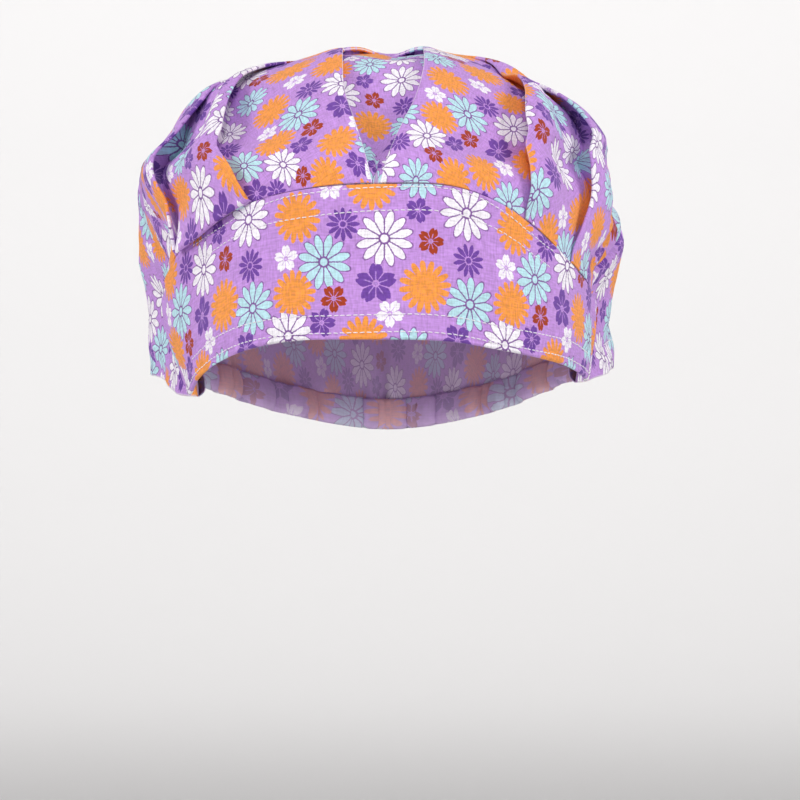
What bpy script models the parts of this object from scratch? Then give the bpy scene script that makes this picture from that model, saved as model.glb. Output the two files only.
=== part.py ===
"""Surgical scrub cap: a pleated cotton crown on a deep front band, drawn in by an elastic casing at the nape.

Metres, +Z up. The front of the cap faces -Y. The origin is the middle of the head opening, level with the
hem at the middle of the forehead. An azimuth is the angle round the head in degrees: 0 at the forehead,
positive towards +X, 180 at the nape.
"""

import math

import bpy
import numpy as np

# Head opening
HEAD_HALF_WIDTH = 0.078
HEAD_HALF_LENGTH = 0.098
HEAD_SHIFT = 0.001  # the opening's middle lies this far towards +X, as the cap was put on

# Front band
BAND_HEIGHT = 0.057
BAND_LEAN = 0.007  # the forehead carries the band's top this far back from its hem
BAND_SPREAD = 0.003  # each side of the band's top lies this far out from its hem
BAND_EAR_DROP = 0.020
BAND_WALL = 0.0022
BAND_END = 92.0  # azimuth of the band's ends

# Crown
CROWN_RISE = 0.116
CROWN_HALF_WIDTH = 0.097
CROWN_FRONT_LENGTH = 0.113
CROWN_BACK_LENGTH = 0.090
CROWN_SETBACK = 0.018  # the crown's middle lies this far behind the head opening's
BROW_NARROWING = 0.10  # the crown is egg-shaped, this share narrower over the brows
CROWN_WALL = 0.0014
SEAM_LAP = 0.004  # the cloth lies flat for this length before it puffs out
PUFF_RUN = 0.028  # the length over which it then fills out
PLEAT_DEPTH = 0.0055
PLEAT_STEP = 0.0020  # width of the folded edge where one panel lies on the next
GATHER_DEPTH = 0.0020
GATHERS_EACH_SIDE = 6

# Nape casing
NAPE_DROP = 0.034
NAPE_RUN = 0.045  # the height over which the elastic draws the cloth in
CASING_HEIGHT = 0.012
CASING_WALL = 0.0018

SEAM_GAP = 0.0006  # between edges that are sewn together
NEST_GAP = 0.0009  # between the crown's back edge and the casing inside it
TUCK_GAP = 0.0017  # between the band's ends and the crown's edge behind them

# The band's two edges, from its -X end to its +X end: place as a share of BAND_END, hem as a share of
# BAND_EAR_DROP and seam as a share of BAND_HEIGHT.
BAND_EDGES = np.array(
    [
        (-1.00, -0.45, 0.17),
        (-0.935, -0.86, 0.32),
        (-0.86, -1.00, 0.48),
        (-0.75, -0.74, 0.645),
        (-0.60, -0.42, 0.75),
        (-0.40, -0.12, 0.905),
        (-0.195, 0.00, 0.98),
        (0.00, 0.00, 1.00),
        (0.195, -0.04, 0.985),
        (0.35, -0.18, 0.88),
        (0.52, -0.33, 0.68),
        (0.66, -0.46, 0.52),
        (0.85, -0.66, 0.36),
        (0.935, -0.74, 0.27),
        (1.00, -0.55, 0.17),
    ],
    dtype=[("place", float), ("hem", float), ("seam", float)],
)

# The back edge: place from 0 at the band's end to 1 at the nape, drop at -X and at +X as shares of NAPE_DROP,
# and flare, how far the cloth stands off the head there, 0 to 1. The last row is the far side of the nape.
BACK_EDGE = np.array(
    [
        (0.00, 0.60, 0.44, 0.80),
        (0.18, 0.36, 0.27, 1.00),
        (0.375, 0.46, 0.40, 0.92),
        (0.66, 0.80, 0.80, 0.55),
        (1.00, 1.00, 1.00, 0.20),
        (1.34, 0.80, 0.80, 0.55),
    ],
    dtype=[("place", float), ("drop_left", float), ("drop_right", float), ("flare", float)],
)

# The full form of the crown, from below the nape to the top: height as a share of CROWN_RISE, the others as
# shares of CROWN_HALF_WIDTH, CROWN_FRONT_LENGTH and CROWN_BACK_LENGTH.
SECTIONS = np.array(
    [
        (-0.60, 0.92, 0.84, 0.66, -0.004),
        (-0.36, 0.95, 0.86, 0.74, -0.004),
        (-0.17, 0.99, 0.88, 0.90, -0.004),
        (0.00, 1.00, 0.90, 0.98, -0.008),
        (0.18, 0.995, 0.93, 1.00, -0.016),
        (0.36, 0.99, 0.96, 1.00, -0.016),
        (0.52, 0.965, 0.98, 0.98, -0.028),
        (0.60, 0.935, 0.98, 0.94, -0.034),
        (0.68, 0.88, 0.96, 0.87, 0.004),
        (0.78, 0.815, 0.89, 0.76, 0.015),
        (0.865, 0.675, 0.775, 0.62, -0.018),
        (0.93, 0.49, 0.61, 0.46, 0.008),
        (0.968, 0.315, 0.42, 0.31, 0.012),
        (0.992, 0.17, 0.21, 0.155, 0.006),
        (1.00, 0.00, 0.00, 0.00, 0.000),
    ],
    dtype=[("height", float), ("side", float), ("front", float), ("back", float), ("shift", float)],
)

# Folded edges from -X to +X. Azimuths at the band (foot) and at PLEAT_STAGES of the way to the top; depth as
# a share of PLEAT_DEPTH at the band and above; reach is the share of the way up at which the edge has faded;
# over is the side whose panel lies on top, -1 towards -X and 1 towards +X.
PLEATS = np.array(
    [
        ("temple_left", -69, -67, -76, -90, 0.60, 1.00, 0.50, -1),
        ("brow_left", -38, -46, -64, -84, 0.55, 0.85, 0.65, -1),
        ("middle_left", -3.0, -9, -22, -75, 0.30, 0.90, 1.00, -1),
        ("middle_right", -0.6, 7, 22, 75, 0.30, 0.90, 1.00, 1),
        ("brow_right", 40, 40, 64, 90, 0.35, 1.00, 0.80, 1),
        ("temple_right", 61, 64, 80, 105, 0.45, 1.10, 0.65, 1),
    ],
    dtype=[
        ("name", "U14"),
        ("foot", float),
        ("waist", float),
        ("shoulder", float),
        ("top", float),
        ("foot_depth", float),
        ("depth", float),
        ("reach", float),
        ("over", int),
    ],
)
PLEAT_STAGES = (0.0, 0.3, 0.65, 1.0)

PANEL_COLUMNS = {"back": 22, "tuck": 3, "ear": 2, "side": 5, "brow": 7, "middle": 3}
CROWN_ROWS = 15
ROW_CROWDING = 1.25  # above 1, rows lie closer together near the band
BAND_COLUMNS = 60
BAND_ROWS = 4
CASING_ROWS = 2
EAR_STEPS = (BAND_END - 12.0, BAND_END - 8.0)  # where the crown's edge passes inside the band's ends
EAR_FAN = 30.0  # how far the columns over the ears turn to the back on their way to the top

CLOTHS = {
    "front_band": ((0.56, 0.27, 0.76, 1.0), 0.82),
    "crown": ((0.52, 0.25, 0.72, 1.0), 0.85),
    "nape_casing": ((0.47, 0.23, 0.66, 1.0), 0.85),
}


def smooth(share):
    """0 to 1 with level ends."""
    share = np.clip(share, 0.0, 1.0)
    return share * share * (3.0 - 2.0 * share)


def read_curve(places, values, at):
    """A smooth curve through a table's column, without overshoot between its rows."""
    places, values, at = np.asarray(places, float), np.asarray(values, float), np.asarray(at, float)
    steps = np.diff(values) / np.diff(places)
    slopes = np.concatenate([[steps[0]], (steps[1:] + steps[:-1]) / 2, [steps[-1]]])
    turning = np.concatenate([[False], steps[1:] * steps[:-1] <= 0, [False]])
    slopes[turning] = 0.0
    row = np.clip(np.searchsorted(places, at) - 1, 0, len(places) - 2)
    width = places[row + 1] - places[row]
    share = np.clip((at - places[row]) / width, 0.0, 1.0)
    start, end = values[row], values[row + 1]
    first, last = slopes[row] * width, slopes[row + 1] * width
    bend = (1 - share) * first * share * (1 - share) - share * last * share * (1 - share)
    return start + (end - start) * smooth(share) + bend


def band_hem(azimuth):
    return BAND_EAR_DROP * read_curve(BAND_EDGES["place"] * BAND_END, BAND_EDGES["hem"], azimuth)


def band_seam(azimuth):
    return BAND_HEIGHT * read_curve(BAND_EDGES["place"] * BAND_END, BAND_EDGES["seam"], azimuth)


def past_band(azimuth):
    """0 at the band's ends and in front of them, 1 at the nape."""
    return np.maximum(np.abs(azimuth) - BAND_END, 0.0) / (180.0 - BAND_END)


def back_hem(azimuth):
    past = past_band(azimuth)
    left = read_curve(BACK_EDGE["place"], BACK_EDGE["drop_left"], past)
    right = read_curve(BACK_EDGE["place"], BACK_EDGE["drop_right"], past)
    return -NAPE_DROP * np.where(azimuth < 0, left, right)


def crown_edge(azimuth):
    """Height of the crown's lower edge: on the band in front, behind its ends, and at the hem at the back."""
    dropped = (np.abs(azimuth) - EAR_STEPS[1]) / (BAND_END - EAR_STEPS[1])
    on_band = band_seam(np.clip(azimuth, -BAND_END, BAND_END)) + SEAM_GAP + CROWN_WALL / 2
    return on_band + (back_hem(azimuth) - on_band) * np.clip(dropped, 0.0, 1.0)


def head_form(azimuth, height):
    """The middle of the cloth where it lies on the head, at an azimuth and a height."""
    turn = np.radians(azimuth)
    up = np.clip(height / BAND_HEIGHT, -1.0, 1.6)
    half_width = HEAD_HALF_WIDTH + BAND_SPREAD * up
    half_length = HEAD_HALF_LENGTH - BAND_LEAN * np.maximum(up, 0.0) * (np.cos(turn) > 0)
    return HEAD_SHIFT + half_width * np.sin(turn), -half_length * np.cos(turn)


def full_form(azimuth, level):
    """The crown's full form at an azimuth and a level, which counts the rows of SECTIONS."""
    turn = np.radians(azimuth)
    rows = np.arange(len(SECTIONS))
    side, front, back, shift, height = (
        read_curve(rows, SECTIONS[name], level) for name in ("side", "front", "back", "shift", "height")
    )
    reach = np.where(np.cos(turn) > 0, CROWN_FRONT_LENGTH * front, CROWN_BACK_LENGTH * back)
    brow = 1.0 - BROW_NARROWING * np.maximum(np.cos(turn), 0.0)
    x = CROWN_HALF_WIDTH * (shift + side * brow * np.sin(turn))
    return x, CROWN_SETBACK - reach * np.cos(turn), CROWN_RISE * height


def level_of(height):
    """The level of SECTIONS that lies at a height."""
    levels = np.linspace(0, len(SECTIONS) - 1, 600)
    heights = CROWN_RISE * read_curve(np.arange(len(SECTIONS)), SECTIONS["height"], levels)
    return np.interp(height, heights, levels)


def off_band(azimuth, height):
    """How far a place on the crown lies beside the band's ends or above its seam, along the cloth."""
    outline = np.linspace(-BAND_END, BAND_END, 120)
    beside = (azimuth[..., None] - outline) * math.radians(1.0) * HEAD_HALF_LENGTH
    above = np.maximum(height[..., None] - band_seam(outline), 0.0)
    return np.hypot(beside, above).min(axis=-1)


def tucked(azimuth, height):
    """How far the crown's edge is drawn inwards to pass behind the band's ends."""
    passing = smooth((np.abs(azimuth) - EAR_STEPS[0]) / (EAR_STEPS[1] - EAR_STEPS[0]))
    passing *= 1.0 - smooth((np.abs(azimuth) - BAND_END) / 8.0)
    over_seam = height - band_seam(np.clip(azimuth, -BAND_END, BAND_END))
    behind = (CROWN_WALL + BAND_WALL) / 2 + TUCK_GAP
    return behind * passing * (1.0 - smooth((over_seam - SEAM_LAP) / (3 * SEAM_LAP)))


def pleat_line(pleat, share):
    """Azimuth of a folded edge at a share of the way from the band to the top."""
    return read_curve(PLEAT_STAGES, [pleat[name] for name in ("foot", "waist", "shoulder", "top")], share)


def pleat_depth(pleat, share):
    """How far the upper panel stands over the lower one along a folded edge."""
    rising = pleat["foot_depth"] + (pleat["depth"] - pleat["foot_depth"]) * smooth(share / PLEAT_STAGES[1])
    fade = 1.0 - smooth(2.0 * share / pleat["reach"] - 1.0)
    return PLEAT_DEPTH * rising * fade


def crown_columns(share):
    """Azimuths of the crown's columns at each share of the way up, and each column's depth on its pleats."""
    step = np.degrees(PLEAT_STEP / HEAD_HALF_LENGTH)
    fan = EAR_FAN * smooth(share)
    flat = np.zeros_like(share)
    stops = [(-180.0 + flat, flat)]
    stops += [(-azimuth - fan, flat) for azimuth in (BAND_END, EAR_STEPS[1], EAR_STEPS[0])]
    for pleat in PLEATS:
        line, depth = pleat_line(pleat, share), pleat_depth(pleat, share)
        middle = pleat["name"].startswith("middle")
        under, upper = (-depth, flat) if middle else (flat, depth)
        sides = (upper, under) if pleat["over"] < 0 else (under, upper)
        stops += [(line - step / 2, sides[0]), (line + step / 2, sides[1])]
    stops += [(azimuth + fan, flat) for azimuth in (*EAR_STEPS, BAND_END)]
    stops.append((180.0 + flat, flat))

    count = PANEL_COLUMNS
    half = [count["back"], count["tuck"], 1, count["ear"], 1, count["side"], 1, count["brow"], 1]
    spans = half + [count["middle"]] + half[::-1]
    azimuths, depths = [], []
    for span, (start, low), (end, high) in zip(spans, stops, stops[1:]):
        for part in np.arange(span) / span:
            azimuths.append(start + (end - start) * part)
            depths.append(low + (high - low) * smooth(part))
    return np.array(azimuths), np.array(depths)


def crown_cloth(azimuth, level, edge, out):
    """Points on the middle of the crown's cloth, pushed out by the depths in out."""
    full_x, full_y, height = full_form(azimuth, level)
    head_x, head_y = head_form(azimuth, height)
    past = past_band(azimuth)
    flare = read_curve(BACK_EDGE["place"], BACK_EDGE["flare"], past)
    risen = smooth((height - edge) / NAPE_RUN)
    drawn_in = np.where(past > 0, (1.0 - flare) * (1.0 - risen), 0.0)
    puff = smooth((off_band(azimuth, height) - SEAM_LAP) / PUFF_RUN) * (1.0 - drawn_in)
    x, y = head_x + (full_x - head_x) * puff, head_y + (full_y - head_y) * puff

    gather = GATHER_DEPTH * np.sin(2 * math.pi * GATHERS_EACH_SIDE * past)
    out = out + gather * smooth(8 * past) * (1.0 - risen) - tucked(azimuth, height)
    away = np.hypot(x - HEAD_SHIFT, y)
    return np.stack([x + (x - HEAD_SHIFT) / away * out, y + y / away * out, height], axis=-1)


def crown_points():
    """A grid of points on the middle of the crown's cloth, columns by rows."""
    share = (np.arange(CROWN_ROWS) / CROWN_ROWS) ** ROW_CROWDING
    azimuth, proud = crown_columns(share)
    edge = crown_edge(azimuth)
    low = level_of(edge)
    level = low + (len(SECTIONS) - 1 - low) * share
    return crown_cloth(azimuth, level, edge, proud)


def casing_points():
    """A grid of points on the middle of the casing, which follows the inside of the crown's back edge."""
    count = PANEL_COLUMNS["back"]
    side = 180.0 - (180.0 - BAND_END) * np.arange(count) / count
    azimuth = np.concatenate([side[::-1], -side[1:]])[:, None] + np.zeros(CASING_ROWS + 1)
    edge = crown_edge(azimuth)
    level = level_of(edge + CASING_HEIGHT * np.linspace(0.0, 1.0, CASING_ROWS + 1))
    points = crown_cloth(azimuth, level, edge, 0.0)
    outwards = np.cross(np.gradient(points, axis=0), np.gradient(points, axis=1))
    outwards /= np.linalg.norm(outwards, axis=-1, keepdims=True)
    return points - outwards * ((CROWN_WALL + CASING_WALL) / 2 + NEST_GAP)


def band_points():
    """A grid of points on the middle of the band's cloth, columns by rows."""
    azimuth = np.linspace(-BAND_END, BAND_END, BAND_COLUMNS + 1)[:, None]
    share = np.linspace(0.0, 1.0, BAND_ROWS + 1)[None, :]
    height = band_hem(azimuth) + (band_seam(azimuth) - band_hem(azimuth)) * share
    x, y = head_form(azimuth + 0.0 * share, height)
    return np.stack([x, y, height], axis=-1)


def open_sheet(name, points, closed, top=None):
    """A mesh object of one layer of faces over a grid, wrapped round where the grid is a closed ring."""
    columns, rows = points.shape[:2]
    verts = [tuple(p) for p in points.reshape(-1, 3)]
    faces = []
    for column in range(columns if closed else columns - 1):
        here, there = column * rows, (column + 1) % columns * rows
        faces += [(here + r, there + r, there + r + 1, here + r + 1) for r in range(rows - 1)]
        if top is not None:
            faces.append((here + rows - 1, there + rows - 1, columns * rows))
    if top is not None:
        verts.append(tuple(top))
    mesh = bpy.data.meshes.new(name)
    mesh.from_pydata(verts, [], faces)
    mesh.shade_smooth()
    sheet = bpy.data.objects.new(name, mesh)
    colour, roughness = CLOTHS[name]
    cloth = bpy.data.materials.new(f"{name}_cotton")
    cloth.use_nodes = True
    shader = cloth.node_tree.nodes["Principled BSDF"]
    shader.inputs["Base Color"].default_value = colour
    shader.inputs["Roughness"].default_value = roughness
    shader.inputs["Metallic"].default_value = 0.0
    mesh.materials.append(cloth)
    return sheet


def thicken(sheet, wall, offset=0.0):
    solid = sheet.modifiers.new("cloth_thickness", "SOLIDIFY")
    solid.thickness = wall
    solid.offset = offset
    solid.use_even_offset = False


def make_crown():
    top = (0.0, CROWN_SETBACK, CROWN_RISE)
    crown = open_sheet("crown", crown_points(), closed=True, top=top)
    thicken(crown, CROWN_WALL)
    return crown


def make_band():
    band = open_sheet("front_band", band_points(), closed=False)
    thicken(band, BAND_WALL)
    return band


def make_casing():
    """The hem turned up inside the crown's back edge, from behind one ear round the nape to the other."""
    casing = open_sheet("nape_casing", casing_points(), closed=False)
    thicken(casing, CASING_WALL)
    return casing


def main():
    for old in list(bpy.data.objects):
        bpy.data.objects.remove(old, do_unlink=True)
    cap = bpy.data.collections.new("surgical_scrub_cap")
    bpy.context.scene.collection.children.link(cap)
    for piece in (make_crown(), make_band(), make_casing()):
        cap.objects.link(piece)


main()
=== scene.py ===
"""Surgical scrub cap in printed cotton: the looks of its pleated crown, front band and nape casing.

Metres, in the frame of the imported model: the front faces -Y, +Z is up, and the origin is the middle of the
head opening at the height of the front hem. An azimuth is the angle round the head in degrees: 0 at the
forehead, positive towards +X, 180 at the nape.
"""

import math

import bpy
import numpy as np
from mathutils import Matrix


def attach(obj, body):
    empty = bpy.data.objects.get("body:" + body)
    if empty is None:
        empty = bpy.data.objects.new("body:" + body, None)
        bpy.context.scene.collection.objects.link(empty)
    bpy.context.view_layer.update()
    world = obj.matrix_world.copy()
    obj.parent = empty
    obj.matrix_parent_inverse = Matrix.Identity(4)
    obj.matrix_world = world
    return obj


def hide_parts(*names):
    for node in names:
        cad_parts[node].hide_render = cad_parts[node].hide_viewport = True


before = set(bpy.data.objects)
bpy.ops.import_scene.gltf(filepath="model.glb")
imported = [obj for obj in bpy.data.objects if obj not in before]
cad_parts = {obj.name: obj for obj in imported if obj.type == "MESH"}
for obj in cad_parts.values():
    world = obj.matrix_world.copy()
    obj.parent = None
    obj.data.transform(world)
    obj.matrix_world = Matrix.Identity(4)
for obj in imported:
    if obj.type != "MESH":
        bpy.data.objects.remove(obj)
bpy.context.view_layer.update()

MM = 0.001


def table(columns, *rows, **kinds):
    """Rows of numbers with named columns, apart from those that kinds says are something else."""
    return np.array(list(rows), dtype=[(name, kinds.get(name, float)) for name in columns.split()])


# Head opening and front band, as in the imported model
HEAD_HALF_WIDTH = 0.078
HEAD_HALF_LENGTH = 0.098
HEAD_SHIFT = 0.001
DEGREE = math.radians(1.0) * HEAD_HALF_LENGTH  # the way round the head in one degree
BAND_HEIGHT = 0.057
BAND_LEAN = 0.007
BAND_SPREAD = 0.003
BAND_EAR_DROP = 0.020
BAND_END = 92.0
BAND_WALL = 0.0020  # two layers of cotton and the turned edges between them

# Crown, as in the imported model, with the cloth at its real thickness
CROWN_RISE = 0.116
CROWN_HALF_WIDTH = 0.097
CROWN_FRONT_LENGTH = 0.113
CROWN_BACK_LENGTH = 0.090
CROWN_SETBACK = 0.018
BROW_NARROWING = 0.10
SEAM_GAP = 0.0003
SEAM_LAP = 0.004
PUFF_RUN = 0.028
PLEAT_DEPTH = 0.0055
PLEAT_TUCK = 0.007  # how far the cloth runs back under each folded edge
TUCK_DEPTH = 0.0034
CLOTH = 0.00045  # one layer of cotton
NAPE_DROP = 0.034
NAPE_RUN = 0.045
CASING_HEIGHT = 0.012
CASING_INSET = 0.0019
CASING_STITCHES = 0.0113  # height of their row over the hem
EAR_STEPS = (BAND_END - 12.0, BAND_END - 8.0)  # where the crown's edge passes behind the band
EAR_FAN = 30.0
EDGE_DROP = 2.5  # degrees in which that edge then drops to the hem
NAPE_ARC = 128 * MM  # cloth along the back edge from a band end to the nape
LEFT_LIFT = 7.5 * MM  # how far the band's ends stand off the head
RIGHT_LIFT = 1.5 * MM
CORNER_FLARE = 3.2 * MM  # how far the cloth flares where it comes out from behind the band
OVERHANG_OUT = 5.4 * MM
OVERHANG_DOWN = 6.0 * MM

# Each edge of the band: place as a share of BAND_END, hem as a share of BAND_EAR_DROP, seam of BAND_HEIGHT
BAND_EDGES = table(
    "place hem seam",
    (-1.00, -0.45, 0.17),
    (-0.935, -0.86, 0.32),
    (-0.86, -1.00, 0.48),
    (-0.75, -0.74, 0.645),
    (-0.60, -0.42, 0.75),
    (-0.40, -0.12, 0.905),
    (-0.195, 0.00, 0.98),
    (0.00, 0.00, 1.00),
    (0.195, -0.04, 0.985),
    (0.35, -0.18, 0.88),
    (0.52, -0.33, 0.68),
    (0.66, -0.46, 0.52),
    (0.85, -0.66, 0.36),
    (0.935, -0.74, 0.27),
    (1.00, -0.55, 0.17),
)

# The back edge from a band end (0) to the nape (1): drops as shares of NAPE_DROP, flare off the head, 0 to 1
BACK_EDGE = table(
    "place drop_left drop_right flare",
    (0.00, 0.60, 0.44, 0.80),
    (0.05, 0.60, 0.43, 0.85),
    (0.18, 0.36, 0.27, 1.00),
    (0.375, 0.46, 0.40, 0.92),
    (0.66, 0.80, 0.80, 0.55),
    (1.00, 1.00, 1.00, 0.20),
    (1.34, 0.80, 0.80, 0.55),
)

# Level sections of the full crown, as shares of the crown's sizes. The front slopes back more than the packed
# model's, as the print's flattened flowers show in the photo.
SECTIONS = table(
    "height side front back shift",
    (-0.60, 0.92, 0.84, 0.66, -0.004),
    (-0.36, 0.95, 0.86, 0.74, -0.004),
    (-0.17, 0.99, 0.88, 0.90, -0.004),
    (0.00, 1.00, 0.90, 0.98, -0.008),
    (0.18, 0.995, 0.93, 1.00, -0.016),
    (0.36, 0.99, 0.955, 1.00, -0.016),
    (0.52, 0.965, 0.945, 0.98, -0.028),
    (0.60, 0.935, 0.895, 0.94, -0.034),
    (0.68, 0.88, 0.83, 0.87, 0.004),
    (0.78, 0.78, 0.72, 0.76, -0.004),
    (0.865, 0.645, 0.60, 0.62, -0.012),
    (0.93, 0.46, 0.46, 0.46, 0.008),
    (0.968, 0.295, 0.335, 0.31, 0.012),
    (0.992, 0.16, 0.19, 0.155, 0.006),
    (1.00, 0.00, 0.00, 0.00, 0.000),
)

# How far the crown's outward direction leans up from level at its sides and front, in degrees, by height as a
# share of CROWN_RISE
LEAN = table(
    "height side front",
    (0.36, 3, 5),
    (0.50, 10, 20),
    (0.56, 17, 28),
    (0.64, 30, 40),
    (0.73, 38, 48),
    (0.82, 50, 56),
    (0.90, 67, 66),
    (0.95, 76, 75),
    (1.00, 88, 88),
)

# Folded edges from -X to +X: azimuths from the band to the top, depths, where the fold starts to fade and
# where it has gone, upper side, the hollow in the panel under the edge (its depth in mm and how far up it is
# deepest), and how strong the painted highlight along the folded edge is, 0 to 1. The middle pair runs as
# V_EDGES says, and its azimuths only place the print.
PLEATS = table(
    "name foot waist shoulder top foot_depth depth fades reach over hollow hollow_at worn",
    ("temple_left", -69, -67, -76, -90, 0.60, 1.00, 0.31, 0.62, -1, 3.0, 0.22, 0.3),
    ("brow_left", -38, -46, -64, -84, 0.80, 1.00, 0.39, 0.78, -1, 4.5, 0.36, 0.3),
    ("middle_left", -3.4, -9, -24, -60, 0.45, 1.00, 0.90, 1.00, -1, 2.0, 0.30, 1.0),
    ("middle_right", -0.8, 7, 24, 60, 0.45, 1.00, 0.90, 1.00, 1, 2.0, 0.30, 1.0),
    ("brow_right", 40, 40, 64, 90, 0.60, 1.05, 0.43, 0.85, 1, 5.5, 0.30, 0.5),
    ("temple_right", 61, 64, 80, 105, 0.45, 1.10, 0.36, 0.72, 1, 4.5, 0.30, 0.3),
    name="U14",
    over=int,
)

# The V's two folded edges, straight as seen from the front: height and places in X, in mm
V_EDGES = table(
    "height middle_left middle_right",
    (57, -4.1, -1.0),
    (68, -6.6, 2.0),
    (81, -10.6, 7.5),
    (95, -14.9, 13.2),
    (104, -15.6, 15.2),
    (116, -15.4, 15.4),
)
TOP_CHANNEL = (0.003, 0.010, 0.0032)  # the V runs on over the top: its middle in X, half-width and depth
FOOT_STACK = 0.0012  # the three layers of a pleat where they are sewn flat into the band
PLEAT_STAGES = (0.0, 0.3, 0.65, 1.0)

# Across a folded edge, from the upper panel round the fold to the panel under it: place in mm where the pleat
# has opened out, place in mm past the edge where it is folded, share of the tuck that it runs back, and
# layers of cloth below the upper panel (high) or above the lower one (low)
FOLD = table(
    "open folded tuck side off",
    (-4.0, -4.0, 0.0, "high", 0.00),
    (-2.6, -2.3, 0.0, "high", 0.00),
    (-1.6, -1.1, 0.0, "high", -0.06),
    (-1.0, -0.35, 0.0, "high", 0.04),
    (-0.6, 0.0, 0.0, "high", 0.40),
    (-0.2, -0.20, 0.0, "high", 0.78),
    (0.1, -0.80, 0.0, "high", 0.92),
    (0.4, -0.40, -0.5, "high", 1.00),
    (0.7, -0.10, -0.95, "low", 1.00),
    (1.0, -0.45, -1.0, "low", 0.88),
    (1.3, -0.60, -1.0, "low", 0.48),
    (1.6, -0.20, -1.0, "low", 0.08),
    (1.9, 0.00, -0.5, "low", 0.00),
    (2.3, -0.60, 0.0, "low", 0.00),
    (3.0, 1.20, 0.0, "low", 0.00),
    (4.0, 3.40, 0.0, "low", 0.00),
    side="U4",
)
PANEL_COLUMNS = (72, 8, 2, 9, 30, 32, 14)  # at the back, behind the band's end (two), ear, side, brow, middle
CROWN_ROWS = 100
ROW_CROWDING = 1.25

# Creases in the cloth over the ears and at the back: azimuth and height in mm at each end, depth and width in
# mm. A negative depth stands proud.
CREASES = table(
    "top high foot low depth width",
    (-92, 78, -86, 8, 2.4, 3.2),
    (-95, 34, -94, -6, 3.0, 2.6),
    (-105, 46, -104, -14, -3.8, 7.0),
    (-115, 60, -112, -12, 2.2, 4.0),
    (-121, 70, -117, -8, -1.6, 5.0),
    (-132, 64, -128, -16, 2.2, 4.5),
    (84, 70, 80, 30, 5.0, 3.6),
    (100, 66, 85, 10, 5.5, 3.2),
    (95, 30, 94, -6, 3.0, 2.6),
    (112, 48, 106, -2, 2.0, 7.0),
    (119, 60, 115, -10, 2.4, 4.0),
    (130, 68, 126, -14, 2.0, 5.0),
    (-150, 76, -146, -8, 2.0, 5.5),
    (-166, 60, -163, -20, 2.2, 5.0),
    (148, 72, 145, -12, 2.2, 5.5),
    (163, 64, 160, -18, 2.0, 5.0),
    (179, 70, 177, -20, 2.2, 5.0),
)

# Rounder hollows and puffs: azimuth, height, depth (negative for a puff), breadth and tallness, all but the
# first in mm, and the slope of the long way, up over along
HOLLOWS = table(
    "azimuth height depth breadth tall slope",
    (92, 58.4, 6.0, 26, 4.5, 0.25),
    (63, 102, 4.0, 6, 5.0, 0.0),
    (-76, 75, 3.0, 9, 5.0, 0.0),
    (-93, 60, -1.4, 20, 10.0, 0.0),
    (-75, 97, -2.6, 16, 6.0, 0.0),
    (104, 14, -2.0, 10, 12.0, 0.0),
)


def smooth(share):
    """0 to 1 with level ends."""
    share = np.clip(share, 0.0, 1.0)
    return share * share * (3.0 - 2.0 * share)


def growing(value, start, run):
    """0 up to the start and 1 from a run past it."""
    return smooth((value - start) / run)


def fading(value, start, run):
    """1 up to the start and 0 from a run past it."""
    return 1.0 - growing(value, start, run)


def read_curve(places, values, at):
    """A smooth curve through a table's column, without overshoot between its rows."""
    places, values, at = np.asarray(places, float), np.asarray(values, float), np.asarray(at, float)
    steps = np.diff(values) / np.diff(places)
    slopes = np.concatenate([[steps[0]], (steps[1:] + steps[:-1]) / 2, [steps[-1]]])
    turning = np.concatenate([[False], steps[1:] * steps[:-1] <= 0, [False]])
    slopes[turning] = 0.0
    row = np.clip(np.searchsorted(places, at) - 1, 0, len(places) - 2)
    width = places[row + 1] - places[row]
    share = np.clip((at - places[row]) / width, 0.0, 1.0)
    start, end = values[row], values[row + 1]
    first, last = slopes[row] * width, slopes[row + 1] * width
    bend = (1 - share) * first * share * (1 - share) - share * last * share * (1 - share)
    return start + (end - start) * smooth(share) + bend


def band_hem(azimuth):
    return BAND_EAR_DROP * read_curve(BAND_EDGES["place"] * BAND_END, BAND_EDGES["hem"], azimuth)


def band_seam(azimuth):
    return BAND_HEIGHT * read_curve(BAND_EDGES["place"] * BAND_END, BAND_EDGES["seam"], azimuth)


def past_band(azimuth):
    """0 at the band's ends and in front of them, 1 at the nape."""
    return np.maximum(np.abs(azimuth) - BAND_END, 0.0) / (180.0 - BAND_END)


def back_hem(azimuth):
    past = past_band(azimuth)
    left = read_curve(BACK_EDGE["place"], BACK_EDGE["drop_left"], past)
    right = read_curve(BACK_EDGE["place"], BACK_EDGE["drop_right"], past)
    return -NAPE_DROP * np.where(azimuth < 0, left, right)


def crown_edge(azimuth):
    """Height of the crown's lower edge: on the band in front, behind its ends, and at the hem at the back."""
    dropped = (np.abs(azimuth) - EAR_STEPS[1]) / EDGE_DROP
    on_band = band_seam(np.clip(azimuth, -BAND_END, BAND_END)) + SEAM_GAP
    return on_band + (back_hem(azimuth) - on_band) * np.clip(dropped, 0.0, 1.0)


def above_seam(azimuth, height):
    """How far a height lies over the band's seam, or behind the band over the seam's ends."""
    return height - band_seam(np.clip(azimuth, -BAND_END, BAND_END))


def outward(x, y):
    """The level way out from the middle of the head."""
    away = np.hypot(x - HEAD_SHIFT, y)
    return np.stack([(x - HEAD_SHIFT) / away, y / away, 0.0 * away], axis=-1)


def head_form(azimuth, height):
    """The middle of the cloth where it lies on the head, at an azimuth and a height."""
    turn = np.radians(azimuth)
    up = np.clip(height / BAND_HEIGHT, -1.0, 1.6)
    half_width = HEAD_HALF_WIDTH + BAND_SPREAD * up
    half_length = HEAD_HALF_LENGTH - BAND_LEAN * np.maximum(up, 0.0) * (np.cos(turn) > 0)
    return HEAD_SHIFT + half_width * np.sin(turn), -half_length * np.cos(turn)


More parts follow.
